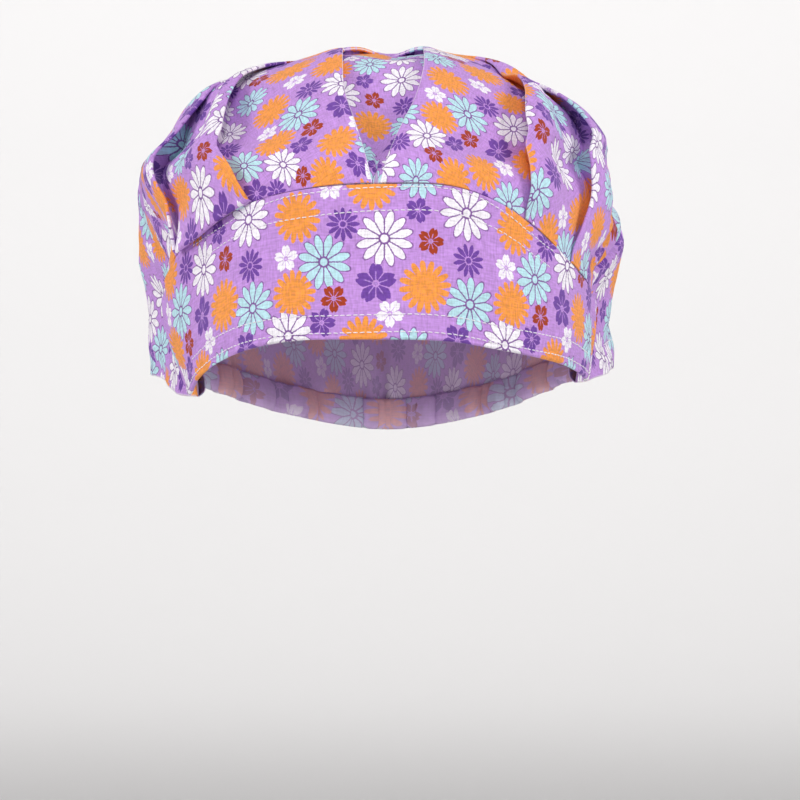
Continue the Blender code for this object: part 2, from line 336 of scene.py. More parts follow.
def band_lift(azimuth, height):
    """How far the band's ends stand off the head, more at the left ear."""
    left = LEFT_LIFT * growing(-azimuth, 60, 30) * growing(height, -18 * MM, 30 * MM)
    return left + RIGHT_LIFT * growing(azimuth, 66, 26) * growing(height, -16 * MM, 30 * MM)


def full_form(azimuth, level):
    """The crown's full form at an azimuth and a level, which counts the rows of SECTIONS."""
    turn = np.radians(azimuth)
    rows = np.arange(len(SECTIONS))
    side, front, back, shift, height = (
        read_curve(rows, SECTIONS[name], level) for name in ("side", "front", "back", "shift", "height")
    )
    reach = np.where(np.cos(turn) > 0, CROWN_FRONT_LENGTH * front, CROWN_BACK_LENGTH * back)
    brow = 1.0 - BROW_NARROWING * np.maximum(np.cos(turn), 0.0)
    x = CROWN_HALF_WIDTH * (shift + side * brow * np.sin(turn))
    return x, CROWN_SETBACK - reach * np.cos(turn), CROWN_RISE * height


def level_of(height):
    """The level of SECTIONS that lies at a height."""
    levels = np.linspace(0, len(SECTIONS) - 1, 600)
    heights = CROWN_RISE * read_curve(np.arange(len(SECTIONS)), SECTIONS["height"], levels)
    return np.interp(height, heights, levels)


def off_band(azimuth, height):
    """How far a place on the crown lies beside the band's ends or above its seam, along the cloth."""
    nearest = np.full(np.shape(height), np.inf)
    for place in np.linspace(-BAND_END, BAND_END, 120):
        beside = (azimuth - place) * DEGREE
        above = np.maximum(height - band_seam(place), 0.0)
        nearest = np.minimum(nearest, np.hypot(beside, above))
    return nearest


def tucked(azimuth, height):
    """How far the crown's edge is drawn inwards to pass behind the band's ends."""
    passing = growing(np.abs(azimuth), EAR_STEPS[0], EAR_STEPS[1] - EAR_STEPS[0])
    passing *= fading(np.abs(azimuth), BAND_END, 8.0)
    return TUCK_DEPTH * passing * fading(above_seam(azimuth, height), SEAM_LAP, 3 * SEAM_LAP)


def pleat_line(pleat, share):
    """Azimuth of a folded edge at a share of the way from the band to the top."""
    name = str(pleat["name"])
    if name in V_EDGES.dtype.names:
        fan = np.linspace(-60.0, 60.0, 241)
        edge = crown_edge(fan)[:, None]
        low = level_of(edge)
        cloth = crown_cloth(fan[:, None], low + (len(SECTIONS) - 1 - low) * share, edge, 0.0)
        beside = cloth[..., 0] - MM * read_curve(V_EDGES["height"], V_EDGES[name], cloth[..., 2] / MM)
        return np.array([np.interp(0.0, beside[:, row], fan) for row in range(len(share))])
    return read_curve(PLEAT_STAGES, [pleat[name] for name in ("foot", "waist", "shoulder", "top")], share)


def pleat_depth(pleat, share):
    """How far the upper panel stands over the lower one along a folded edge."""
    rising = pleat["foot_depth"] + (pleat["depth"] - pleat["foot_depth"]) * smooth(share / PLEAT_STAGES[1])
    fade = fading(share, pleat["fades"], pleat["reach"] - pleat["fades"])
    if pleat["name"].startswith("middle"):
        fade = fade * (1.0 - 0.45 * growing(share, 0.35, 0.3))
    return PLEAT_DEPTH * rising * fade


def fold_columns(pleat, share):
    """The columns across one folded edge: azimuths, heights off the lower form, whether each is on the upper
    panel, and how strong the painted highlight on each is."""
    line, depth = pleat_line(pleat, share), pleat_depth(pleat, share)
    risen = smooth(share / 0.07)
    middle = pleat["name"].startswith("middle")
    crest = 1.5 * MM * growing(share, 0.45, 0.3) * fading(share, 0.9, 0.1)
    high = crest if middle else depth
    low = high - depth - pleat["hollow"] * MM * np.exp(-(((share - pleat["hollow_at"]) / 0.17) ** 2))
    low = low * risen - FOOT_STACK / 2 * (1 - risen)
    high = high * risen + FOOT_STACK / 2 * (1 - risen)
    closed = growing(high - low, 0.5 * MM, 0.6 * MM)
    layer = (0.62 + 0.38 * risen) * MM
    radius = HEAD_HALF_LENGTH * np.maximum(1.0 - 0.75 * share, 0.3)
    across, height, upper, worn = [], [], [], []
    for stop in FOLD:
        folded = stop["folded"] * MM + stop["tuck"] * PLEAT_TUCK
        across.append(stop["open"] * MM + (folded - stop["open"] * MM) * closed)
        eased = high + (low - high) * growing(stop["open"], -3.0, 6.0)
        laid = high - stop["off"] * layer if stop["side"] == "high" else low + stop["off"] * layer
        height.append(eased + (laid - eased) * closed)
        upper.append(stop["side"] == "high" and stop["tuck"] == 0.0)
        # The crest of the pressed edge on the upper panel takes the painted highlight
        worn.append(pleat["worn"] * (stop["folded"] == 0.0 and stop["side"] == "high") * closed)
    over = pleat["over"]
    azimuth = line - over * np.degrees(np.array(across) / radius)
    order = slice(None) if over < 0 else slice(None, None, -1)
    return azimuth[order], np.array(height)[order], np.array(upper)[order], np.array(worn)[order]


def crown_columns(share):
    """Azimuth, height off the form, painted highlight and panel number of each of the crown's columns, by
    rows.
    """
    fan = EAR_FAN * smooth(share)
    flat = np.zeros_like(share)
    stops = [(-180.0 + flat, flat, flat, 0)]
    stops += [(-azimuth - fan, flat, flat, 0) for azimuth in (BAND_END, EAR_STEPS[1], EAR_STEPS[0])]
    runs = [None] * 3
    for number, pleat in enumerate(PLEATS):
        azimuth, height, upper, worn = fold_columns(pleat, share)
        runs.append(None)
        for place in range(len(azimuth)):
            own = number + (0 if upper[place] == (pleat["over"] < 0) else 1)
            stops.append((azimuth[place], height[place], worn[place], own))
            runs.append("fold")
        runs.pop()
    stops += [(azimuth + fan, flat, flat, len(PLEATS)) for azimuth in (*EAR_STEPS, BAND_END)]
    stops.append((180.0 + flat, flat, flat, len(PLEATS)))
    runs += [None] * 4

    spans = iter(PANEL_COLUMNS + PANEL_COLUMNS[-2::-1])
    azimuths, heights, painted_highlight, panels = [], [], [], []
    for run, (start, low, worn, panel), (end, high, _, _) in zip(runs, stops, stops[1:]):
        span = 1 if run == "fold" else next(spans)
        for part in np.arange(span) / span:
            azimuths.append(start + (end - start) * part)
            heights.append(low + (high - low) * smooth(part))
            painted_highlight.append(worn * (part == 0.0))
            panels.append(panel)
    return np.array(azimuths), np.array(heights), np.array(painted_highlight), np.array(panels)


def waves(places, lengths, heights, seed):
    """Soft uneven ripples: the sum of a few waves over some coordinates, in metres, with seeded phases."""
    chance = np.random.default_rng(seed)
    total = 0.0
    for length, height in zip(lengths, heights):
        turns = chance.normal(size=(3, len(places)))
        turns /= np.linalg.norm(turns, axis=1, keepdims=True)
        for turn in turns:
            run = sum(place * part for place, part in zip(places, turn))
            total = total + height / 2 * np.sin(2 * math.pi * run / length + chance.uniform(0, 6.3))
    return total


def gathers(azimuth, height, edge):
    """The small puckers that the elastic draws in at the back edge, dying out up the cloth."""
    past = past_band(azimuth)
    along = past * NAPE_ARC * np.sign(azimuth)
    uneven = along + 2.2 * MM * np.sin(along / (11 * MM)) + 1.5 * MM * np.sin(along / (4.7 * MM) + 1.0)
    up = np.maximum(height - edge, 0.0)
    fine = 0.9 * MM * np.sin(2 * math.pi * uneven / (6.5 * MM)) * (1.0 - smooth(up / (24 * MM)))
    broad = 1.5 * MM * np.sin(2 * math.pi * uneven / (14.5 * MM) + 0.7) * (1.0 - smooth(up / (52 * MM)))
    return (fine + broad) * smooth(7 * past)


def creases(azimuth, height):
    """Creases and standing folds that run up the cloth over the ears and at the back, and rounder hollows."""
    total = np.zeros(np.shape(height))
    for crease in CREASES:
        high, low = crease["high"] * MM, crease["low"] * MM
        part = (height - low) / (high - low)
        line = crease["foot"] + (crease["top"] - crease["foot"]) * np.clip(part, -0.2, 1.2)
        line = line + 1.6 * np.sin(5 * part + crease["foot"])
        beside = (azimuth - line) * DEGREE / (crease["width"] * MM)
        span = smooth(part * 4 + 0.6) * smooth((1 - part) * 2.2 + 0.2)
        total -= crease["depth"] * MM * np.exp(-np.abs(beside) ** 1.6) * span
    for hollow in HOLLOWS:
        along = (azimuth - hollow["azimuth"]) * DEGREE / MM
        up = height / MM - hollow["height"] - hollow["slope"] * along
        off = (along / hollow["breadth"]) ** 2 + (up / hollow["tall"]) ** 2
        total -= hollow["depth"] * MM * np.exp(-off)
    return total


def crown_cloth(azimuth, level, edge, out):
    """Points on the middle of the crown's cloth, pushed out by the depths in out."""
    full_x, full_y, height = full_form(azimuth, level)
    head_x, head_y = head_form(azimuth, height)
    past = past_band(azimuth)
    flare = read_curve(BACK_EDGE["place"], BACK_EDGE["flare"], past)
    risen = growing(height, edge, NAPE_RUN)
    drawn_in = np.where(past > 0, (1.0 - flare) * (1.0 - risen), 0.0)
    facing = np.maximum(np.cos(np.radians(azimuth)), 0.0) ** 2
    puff_run = PUFF_RUN * (1.0 - 0.4 * facing)
    puff = growing(off_band(azimuth, height), SEAM_LAP, puff_run) * (1.0 - drawn_in)
    x, y = head_x + (full_x - head_x) * puff, head_y + (full_y - head_y) * puff
    out = out + gathers(azimuth, height, edge) - tucked(azimuth, height)
    beside = np.abs(azimuth) - BAND_END
    corner = growing(beside, 1, 4) * fading(beside, 8, 14) * fading(height, edge, 18 * MM)
    out = out + CORNER_FLARE * corner
    beside_band = fading(above_seam(azimuth, height), 3 * MM, 16 * MM)
    beside_band = beside_band * (1.0 - smooth(beside / 7))
    out = out + band_lift(azimuth, height) * beside_band
    away = np.hypot(x - HEAD_SHIFT, y)
    side, front = (np.interp(height / CROWN_RISE, LEAN["height"], LEAN[name]) for name in ("side", "front"))
    lean = np.radians(side + (front - side) * facing)
    level_out = np.cos(lean) * out / away
    x, y = x + (x - HEAD_SHIFT) * level_out, y + y * level_out
    return np.stack([x, y, height + np.sin(lean) * out], axis=-1)


def overhang(points, azimuth, above):
    """Droops the panel beside the left brow over the band's seam, most at the temple."""
    along = growing(azimuth, -72, 4) * fading(azimuth, -39.5, 2.5)
    along = along * (0.35 + 0.65 * growing(-azimuth, 36, 30))
    fold = along * smooth(above / (1.8 * MM)) * fading(above, 1.8 * MM, 16 * MM)
    moved = OVERHANG_OUT * outward(points[..., 0], points[..., 1]) + np.array((0.0, 0.0, -OVERHANG_DOWN))
    return points + fold[..., None] * moved


def crown_grid():
    """Points on the middle of the crown's cloth, their places on the flat cloth, and the painted highlight at
    each.
    """
    share = (np.arange(CROWN_ROWS) / CROWN_ROWS) ** ROW_CROWDING
    azimuth, proud, painted_highlight, panel = crown_columns(share)
    edge = crown_edge(azimuth)
    low = level_of(edge)
    level = low + (len(SECTIONS) - 1 - low) * share
    plain = crown_cloth(azimuth, level, edge, 0.0)
    height = plain[..., 2]
    risen = growing(height, edge, 12 * MM)
    lengths, heights = (46 * MM, 27 * MM, 15 * MM), (0.9 * MM, 0.5 * MM, 0.22 * MM)
    soft = waves(np.moveaxis(plain, -1, 0), lengths, heights, seed=5)
    loose = growing(np.abs(azimuth), 70, 25)
    worn_in = creases(azimuth, height) * growing(height, edge, 9 * MM)
    out = proud + (soft * (0.6 + 0.8 * loose) + worn_in) * risen
    points = overhang(crown_cloth(azimuth, level, edge, out), azimuth, height - edge)
    channel = np.exp(-(((points[..., 0] - TOP_CHANNEL[0]) / TOP_CHANNEL[1]) ** 2))
    points[..., 2] -= TOP_CHANNEL[2] * channel * growing(height / CROWN_RISE, 0.93, 0.05)
    # The lowest two rows at the back take a painted highlight too, standing in for light on the rolled hem
    painted_highlight[:, :2] = np.maximum(painted_highlight[:, :2], (past_band(azimuth[:, :2]) > 0) * (0.9, 0.25))
    return points, flat_places(plain, azimuth, panel, share), painted_highlight


def flat_places(points, azimuth, panel, share):
    """Where the crown's points lay on the flat cloth, in metres from the top. Each front panel keeps its
    width, so what is left over lies hidden in the pleats. The back is laid out by its true bearing."""
    top = np.array((0.0, CROWN_SETBACK, CROWN_RISE))
    whole = np.concatenate([points, np.broadcast_to(top, points[:, :1].shape)], axis=1)
    steps = np.linalg.norm(np.diff(whole, axis=1), axis=-1)
    reach = np.cumsum(steps[:, ::-1], axis=1)[:, ::-1]
    away = np.hypot(whole[..., 0] - top[0], whole[..., 1] - top[1])
    straight = np.hypot(np.diff(away, axis=1), np.diff(whole[..., 2], axis=1))
    straight = np.cumsum(straight[:, ::-1], axis=1)[:, ::-1]
    at_back = ((panel == 0) | (panel == len(PLEATS)))[:, None]
    hidden = 0.9 * (1.0 - np.clip(away[:, :-1] / reach, 0.3, 1.0)) * fading(share, 0.25, 0.5)
    narrowed = 1.0 - np.where(at_back, 0.0, hidden)
    waists = PLEATS["waist"]
    centres = np.concatenate([[-180.0], (waists[1:] + waists[:-1]) / 2, [180.0]])[panel][:, None]
    turn = np.radians(centres + (azimuth - centres) * narrowed)
    turn = np.where(at_back, np.arctan2(points[..., 0] - top[0], top[1] - points[..., 1]), turn)
    reach = np.where(at_back, straight, reach)
    return np.stack([reach * np.sin(turn), -reach * np.cos(turn)], axis=-1)


def band_middle(azimuth, up):
    """A point on the middle of the band, a share of the way up from hem to seam, and the way out of it."""
    hem, seam = band_hem(azimuth), band_seam(azimuth)
    height = hem + (seam - hem) * up
    x, y = head_form(azimuth, height)
    way = outward(x, y)
    return np.stack([x, y, height], axis=-1) + way * band_lift(azimuth, height)[..., None], way


# The band's four rows of topstitching: distance from the seam (positive) or above the hem (negative), in mm,
# and the azimuths that each runs between before it passes out of the band
STITCH_ROWS = {
    "upper_edge": (1.4, -64, 52),
    "upper_fold": (10.0, -60, 50),
    "lower_fold": (-9.0, -70, 78),
    "lower_edge": (-2.6, -84, 84),
}
STITCH_PITCH = 2.5 * MM


def stitch_line(name, azimuth):
    """Height of a row of topstitching on the band, as a share of the way from hem to seam."""
    tall = band_seam(azimuth) - band_hem(azimuth)
    off = STITCH_ROWS[name][0] * MM + 0.35 * MM * np.sin(azimuth / 9.0 + len(name))
    if STITCH_ROWS[name][0] > 0:
        sagging = 1.6 * MM * growing(np.abs(azimuth), 22, 20) * (name == "upper_edge")
        return 1.0 - (off + sagging) / tall
    return -off / tall


def band_front(azimuth, up):
    """How far the band's face stands out, past half its thickness: it dips along each row of stitches."""
    hem, seam = band_hem(azimuth), band_seam(azimuth)
    height = hem + (seam - hem) * up
    along = np.radians(azimuth) * HEAD_HALF_LENGTH * 0.9
    out = waves((along, height), (60 * MM, 28 * MM, 11 * MM), (0.5 * MM, 0.28 * MM, 0.1 * MM), seed=11)
    for number, (name, (_, first, last)) in enumerate(STITCH_ROWS.items()):
        off = (up - stitch_line(name, azimuth)) * (seam - hem)
        sewn = smooth((azimuth - first) / 3 + 1) * smooth((last - azimuth) / 3 + 1)
        pulled, near = (np.exp(-((off / reach) ** 2)) * sewn for reach in (1.1 * MM, 3.2 * MM))
        puckers = np.sin(2 * math.pi * along / (5.3 * MM) + number + 3 * np.sin(along / (20 * MM)))
        out = out - 0.34 * MM * pulled
        out = out + 0.11 * MM * near * puckers
    ends = growing(np.abs(azimuth), 74, 16)
    out = out + ends * 0.7 * MM * np.sin(along / (1.9 * MM) + height / (6 * MM))
    return out


def run_along(line):
    """The way run along a line of points up to each of them."""
    return np.concatenate([[0.0], np.cumsum(np.linalg.norm(np.diff(line, axis=0), axis=1))])


def band_shell():
    """The band as a closed double layer: a ring of points round its folded hem and seam for each column."""
    columns, face, fold, back = 320, 42, 5, 12
    azimuth = np.linspace(-BAND_END, BAND_END, columns + 1)[:, None]
    tall = band_seam(azimuth) - band_hem(azimuth)
    thick = BAND_WALL * np.sqrt(growing(BAND_END + 0.2, np.abs(azimuth), 1.6) * 0.9 + 0.02)
    margin = thick / 2 / tall
    turn = math.pi * (np.arange(fold) + 0.5) / fold
    up_face = margin + (1 - 2 * margin) * np.linspace(0, 1, face)[None, :]
    up_back = up_face[:, :: -(face // back)]
    over = 1 - margin + margin * np.sin(turn)[None, :]
    under = margin - margin * np.sin(turn)[None, :]
    up = np.concatenate([up_face, over, up_back, under], axis=1)
    side = np.concatenate([np.ones(face), np.cos(turn), -np.ones(up_back.shape[1]), -np.cos(turn)])[None, :]
    azimuth = azimuth + 0.0 * up
    middle, way = band_middle(azimuth, up)
    raised = band_front(azimuth, up) * np.where(side > 0, side, 0.35 * np.abs(side) * (side < 0))
    points = middle + way * (side * thick / 2 + raised)[..., None]
    line = band_middle(azimuth[:, :1], 0.5 + 0.0 * azimuth[:, :1])[0][:, 0]
    along = run_along(line)
    along -= along[columns // 2]
    places = np.stack([along[:, None] + 0.0 * up, up * tall], axis=-1)
    return points, places


def round_the_nape(start, count):
    """Azimuths from one ear round the nape to the other, which start some degrees past the band's end."""
    azimuth = 180.0 - (180.0 - BAND_END - start) * np.linspace(-1, 1, count)
    return np.where(azimuth > 180.0, azimuth - 360.0, azimuth)


def casing_grid():
    """Points on the middle of the hem turned up inside the back edge, from one ear round the nape."""
    azimuth = round_the_nape(0.5, 361)[:, None]
    rows = np.linspace(0.0, 1.0, 12)[None, :]
    edge = crown_edge(azimuth) + 0.0 * rows
    level = level_of(edge + CASING_HEIGHT * rows)
    points = crown_cloth(azimuth + 0.0 * rows, level, edge, 0.0)
    across, up = np.gradient(points, axis=0), np.gradient(points, axis=1)
    outwards = np.cross(up, across)
    outwards /= np.linalg.norm(outwards, axis=-1, keepdims=True)
    inset = CASING_INSET * np.sqrt(smooth(rows * 5 + 0.10)) + 1.3 * MM * np.sin(math.pi * rows)
    points = points - outwards * inset[..., None]
    along = run_along(points[:, 0])[:, None]
    return points, np.stack([along + 0.0 * rows, CASING_HEIGHT * rows + 0.0 * along], axis=-1)


def cloth_object(name, points, places, closed, top=None, ring=False, painted_highlight=None):
    """A mesh over a grid of points, with the places on the flat cloth as its UV map, in metres, and the
    painted highlight of its pressed edges as an attribute."""
    columns, rows = points.shape[:2]
    verts = points.reshape(-1, 3)
    flat = places.reshape(-1, 2)
    column = np.arange(columns if closed else columns - 1)[:, None]
    row = np.arange(rows if ring else rows - 1)[None, :]
    here, there = column * rows, (column + 1) % columns * rows
    above = (row + 1) % rows
    quads = np.stack([here + row, there + row, there + above, here + above], axis=-1).reshape(-1, 4)
    faces = quads.tolist()
    if top is not None:
        verts = np.concatenate([verts, [top]])
        flat = np.concatenate([flat, [(0.0, 0.0)]])
        last = np.arange(columns) * rows + rows - 1
        faces += np.stack([last, np.roll(last, -1), np.full(columns, columns * rows)], axis=-1).tolist()
    if ring:
        faces.append(list(range(rows)))
        faces.append(list(range((columns - 1) * rows, columns * rows))[::-1])
    mesh = bpy.data.meshes.new(name)
    mesh.from_pydata(verts.tolist(), [], faces)
    layer = mesh.uv_layers.new(name="cloth")
    corners = np.empty(len(mesh.loops), np.int32)
    mesh.loops.foreach_get("vertex_index", corners)
    layer.data.foreach_set("uv", flat[corners].astype(np.float32).ravel())
    if painted_highlight is not None:
        layer = mesh.attributes.new("painted_highlight", "FLOAT", "POINT")
        layer.data.foreach_set("value", np.append(painted_highlight.ravel(), 0.0).astype(np.float32))
    mesh.shade_smooth()
    piece = bpy.data.objects.new(name, mesh)
    bpy.context.scene.collection.objects.link(piece)
    return piece


def apply_modifier(piece, kind, **settings):
    bpy.ops.object.select_all(action="DESELECT")
    piece.select_set(True)
    bpy.context.view_layer.objects.active = piece
    modifier = piece.modifiers.new(kind.lower(), kind)
    for name, value in settings.items():
        setattr(modifier, name, value)
    bpy.ops.object.modifier_apply(modifier=modifier.name)


def linear(code):
    """An sRGB hex colour as linear RGBA."""
    parts = [int(code[i : i + 2], 16) / 255 for i in (1, 3, 5)]
    return (*(c / 12.92 if c <= 0.04045 else ((c + 0.055) / 1.055) ** 2.4 for c in parts), 1.0)


def add(tree, kind, sources=None, out=0, **settings):
    """Adds a node. Each source is linked if it is a socket, else set, on the input of that name or number."""
    made = tree.nodes.new(kind)
    for name, value in settings.items():
        setattr(made, name, value)
    for socket, source in (sources or {}).items():
        if isinstance(source, bpy.types.NodeSocket):
            tree.links.new(source, made.inputs[socket])
        else:
            made.inputs[socket].default_value = source
    return made.outputs[out]


MATH = "ShaderNodeMath"
VECTOR = "ShaderNodeVectorMath"
MIX = "ShaderNodeMix"
RANGE = "ShaderNodeMapRange"

# The print's repeat, charted: each kind of flower, its ink, and for each flower of it the place in mm,
# half-width in mm and turn, 0 to 1
REPEAT = 86.0
FLOWERS = {
    "white_daisy": (
        "#FAF5FD",
        (85.5, 36.9, 10.4, 0.00),
        (30.0, 47.8, 10.2, 0.03),
        (48.2, 2.1, 10.0, 0.01),
        (27.5, 68.5, 9.6, 0.05),
    ),
    "aqua_daisy": (
        "#BFE6F0",
        (63.0, 28.4, 10.2, 0.00),
        (32.0, 14.5, 10.0, 0.04),
        (12.4, 60.5, 9.0, 0.02),
        (9.4, 81.0, 9.4, 0.06),
        (46.5, 64.5, 8.6, 0.03),
    ),
    "orange_mum": (
        "#FA9F46",
        (52.6, 45.3, 9.8, 0.00),
        (51.0, 17.2, 9.2, 0.02),
        (14.5, 19.4, 10.0, 0.01),
        (80.9, 56.4, 9.4, 0.03),
        (77.8, 85.5, 9.4, 0.05),
        (64.5, 72.0, 9.4, 0.02),
    ),
    "purple_aster": (
        "#7347A5",
        (31.0, 30.4, 6.3, 0.00),
        (70.5, 42.2, 6.3, 0.04),
        (37.5, 80.5, 5.8, 0.02),
    ),
    "purple_blossom": (
        "#7347A5",
        (82.4, 20.4, 7.9, 0.05),
        (11.7, 47.4, 5.0, 0.50),
        (62.0, 6.2, 5.6, 0.30),
        (27.3, 0.5, 6.6, 0.15),
        (15.2, 72.8, 4.4, 0.40),
        (82.0, 71.5, 6.0, 0.25),
    ),
    "rust_blossom": (
        "#A93E20",
        (66.8, 15.0, 5.4, 0.35),
        (16.3, 36.2, 5.2, 0.10),
        (53.5, 78.5, 4.8, 0.60),
    ),
    "white_blossom": (
        "#FAF5FD",
        (47.7, 30.5, 5.3, 0.05),
        (1.5, 9.5, 5.4, 0.55),
        (65.7, 56.0, 5.3, 0.25),
        (1.5, 69.0, 4.8, 0.70),
    ),
}


def daisy_print_group():
    """The ditsy daisy print, one repeat of 86 mm each way, as colour over the flat cloth in metres."""
    tree = bpy.data.node_groups.new("ditsy_daisy_print", "ShaderNodeTree")
    tree.interface.new_socket("Place", in_out="INPUT", socket_type="NodeSocketVector")
    tree.interface.new_socket("Color", in_out="OUTPUT", socket_type="NodeSocketColor")
    place = tree.nodes.new("NodeGroupInput").outputs[0]

    # Nearest flower: its own coordinates, in half-widths, with its kind and turn in Z
    shares = add(tree, VECTOR, {0: place, 3: 1.0 / (REPEAT * MM)}, operation="SCALE")
    best = nearest = None
    flowers = [(number, flower) for number, (_, *kind) in enumerate(FLOWERS.values()) for flower in kind]
    for number, (x, y, half, turn) in flowers:
        code = number + turn
        scale = REPEAT / half
        moved = add(tree, VECTOR, {0: shares, 1: (0.5 - x / REPEAT, 0.5 - y / REPEAT, 0)}, operation="ADD")
        wrapped = add(tree, VECTOR, {0: moved}, operation="FRACTION")
        centred = {0: wrapped, 1: (scale, scale, 0), 2: (-scale / 2, -scale / 2, code)}
        own = add(tree, VECTOR, centred, operation="MULTIPLY_ADD")
        away = add(tree, VECTOR, {0: own, 1: (0, 0, code)}, out=1, operation="DISTANCE")
        if best is None:
            best, nearest = own, away
            continue
        closer = add(tree, MATH, {0: away, 1: nearest}, operation="LESS_THAN")
        nearest = add(tree, MATH, {0: away, 1: nearest}, operation="MINIMUM")
        best = add(tree, MIX, {0: closer, 4: best, 5: own}, out=1, data_type="VECTOR")
    parts = tree.nodes.new("ShaderNodeSeparateXYZ")
    tree.links.new(best, parts.inputs[0])
    kind = add(tree, MATH, {0: parts.outputs[2]}, operation="FLOOR")
    turn = add(tree, MATH, {0: parts.outputs[2]}, operation="FRACT")
    bearing = add(tree, MATH, {0: parts.outputs[1], 1: parts.outputs[0]}, operation="ARCTAN2")
    bearing = add(tree, MATH, {0: bearing, 1: 1 / (2 * math.pi), 2: turn}, operation="MULTIPLY_ADD")

    # Petals: how far each point lies off its petal's middle line, as a share of a petal (petals) and in
    # half-widths (sides), and how far off the middle of its oval, which is 1 at the rim (ovals)
    petals, sides, ovals = {}, {}, {}
    for flower, count, middle, long, wide in (
        ("daisy", 12, 0.60, 0.40, 0.155),
        ("mum", 16, 0.60, 0.40, 0.20),
        ("aster", 12, 0.62, 0.38, 0.135),
        ("blossom", 5, 0.58, 0.42, 0.34),
    ):
        petal = bearing
        for operation, value in (("MULTIPLY", count), ("FRACT", 0.0), ("SUBTRACT", 0.5), ("ABSOLUTE", 0.0)):
            petal = add(tree, MATH, {0: petal, 1: value}, operation=operation)
        side = add(tree, MATH, {0: petal, 1: 2 * math.pi / count}, operation="MULTIPLY")
        side = add(tree, MATH, {0: side}, operation="SINE")
        side = add(tree, MATH, {0: side, 1: nearest}, operation="MULTIPLY")
        lengthwise = add(tree, MATH, {0: nearest, 1: middle}, operation="SUBTRACT")
        oval = 0.0
        for off, reach in ((lengthwise, long), (side, wide)):
            off = add(tree, MATH, {0: off, 1: reach}, operation="DIVIDE")
            off = add(tree, MATH, {0: off, 1: 2.0}, operation="POWER")
            oval = add(tree, MATH, {0: off, 1: oval}, operation="ADD")
        petals[flower], sides[flower], ovals[flower] = petal, side, oval

    # What some masks are read from: the gap beside a daisy's petal, the mum's scalloped rim and curved lines,
    # and the blossom's notched rim
    gap = add(tree, MATH, {0: nearest, 1: math.pi / 12}, operation="MULTIPLY")
    gap = add(tree, MATH, {0: gap, 1: sides["daisy"]}, operation="SUBTRACT")
    tip = add(tree, MATH, {0: petals["mum"], 1: 2.0}, operation="MULTIPLY")
    rim = add(tree, MATH, {0: tip, 1: 2.6}, operation="POWER")
    rim = add(tree, MATH, {0: rim, 1: 0.42, 2: nearest}, operation="MULTIPLY_ADD")
    hoops = add(tree, MATH, {0: tip, 1: 2.0}, operation="POWER")
    hoops = add(tree, MATH, {0: hoops, 1: 0.12, 2: nearest}, operation="MULTIPLY_ADD")
    hoops = add(tree, MATH, {0: hoops, 1: 24.0}, operation="MULTIPLY")
    hoops = add(tree, MATH, {0: hoops}, operation="SINE")
    notch = add(tree, RANGE, {0: sides["blossom"], 1: 0.0, 2: 0.13, 3: 0.15, 4: 0.0})
    notch = add(tree, MATH, {0: notch, 1: nearest}, operation="ADD")

    # Soft-edged masks: what each is read from, where it starts to change and where it has changed, and its
    # values before and after
    masks = {}
    for name, source, start, end, before, after in (
        ("daisy", ovals["daisy"], 0.88, 1.04, 1, 0),
        ("daisy_gap", gap, 0.014, 0.034, 0, 1),
        ("daisy_ring", nearest, 0.17, 0.20, 0, 1),
        ("daisy_eye", nearest, 0.125, 0.155, 1, 0),
        ("outline", ovals["daisy"], 1.18, 1.45, 1, 0),
        ("outline_inside", nearest, 0.55, 0.65, 1, 0),
        ("outline_limit", nearest, 1.0, 1.1, 1, 0),
        ("mum", rim, 0.95, 1.0, 1, 0),
        ("mum_lines", petals["mum"], 0.40, 0.5, 0, 1),
        ("mum_hoops", hoops, 0.7, 1.0, 0, 0.5),
        ("aster", ovals["aster"], 0.85, 1.1, 1, 0),
        ("aster_gap", petals["aster"], 0.38, 0.46, 1, 0),
        ("aster_eye", nearest, 0.15, 0.2, 1, 0),
        ("blossom", ovals["blossom"], 0.9, 1.06, 1, 0),
        ("blossom_notch", notch, 0.97, 1.01, 1, 0),
        ("blossom_gap", petals["blossom"], 0.43, 0.48, 1, 0),
        ("blossom_eye", nearest, 0.07, 0.1, 1, 0),
        ("blossom_lines", sides["blossom"], 0.015, 0.04, 1, 0),
        ("lines_reach", nearest, 0.5, 0.62, 1, 0),
    ):
        limits = {0: source, 1: start, 2: end, 3: before, 4: after}
        masks[name] = add(tree, RANGE, limits, interpolation_type="SMOOTHSTEP")
    masks["mum_outside"] = add(tree, RANGE, {0: nearest, 1: 0.5, 2: 0.9, 3: 0.25, 4: 1.0})

    # Where each kind of flower is the nearest: kinds are counted as in FLOWERS
    masks["is_daisy"] = add(tree, MATH, {0: kind, 1: 1.5}, operation="LESS_THAN")
    masks["past_mum"] = add(tree, MATH, {0: kind, 1: 2.5}, operation="GREATER_THAN")
    masks["past_aster"] = add(tree, MATH, {0: kind, 1: 3.5}, operation="GREATER_THAN")
    not_mum = add(tree, MATH, {0: masks["past_mum"], 1: masks["is_daisy"]}, operation="ADD")
    masks["is_mum"] = add(tree, MATH, {0: 1.0, 1: not_mum}, operation="SUBTRACT")

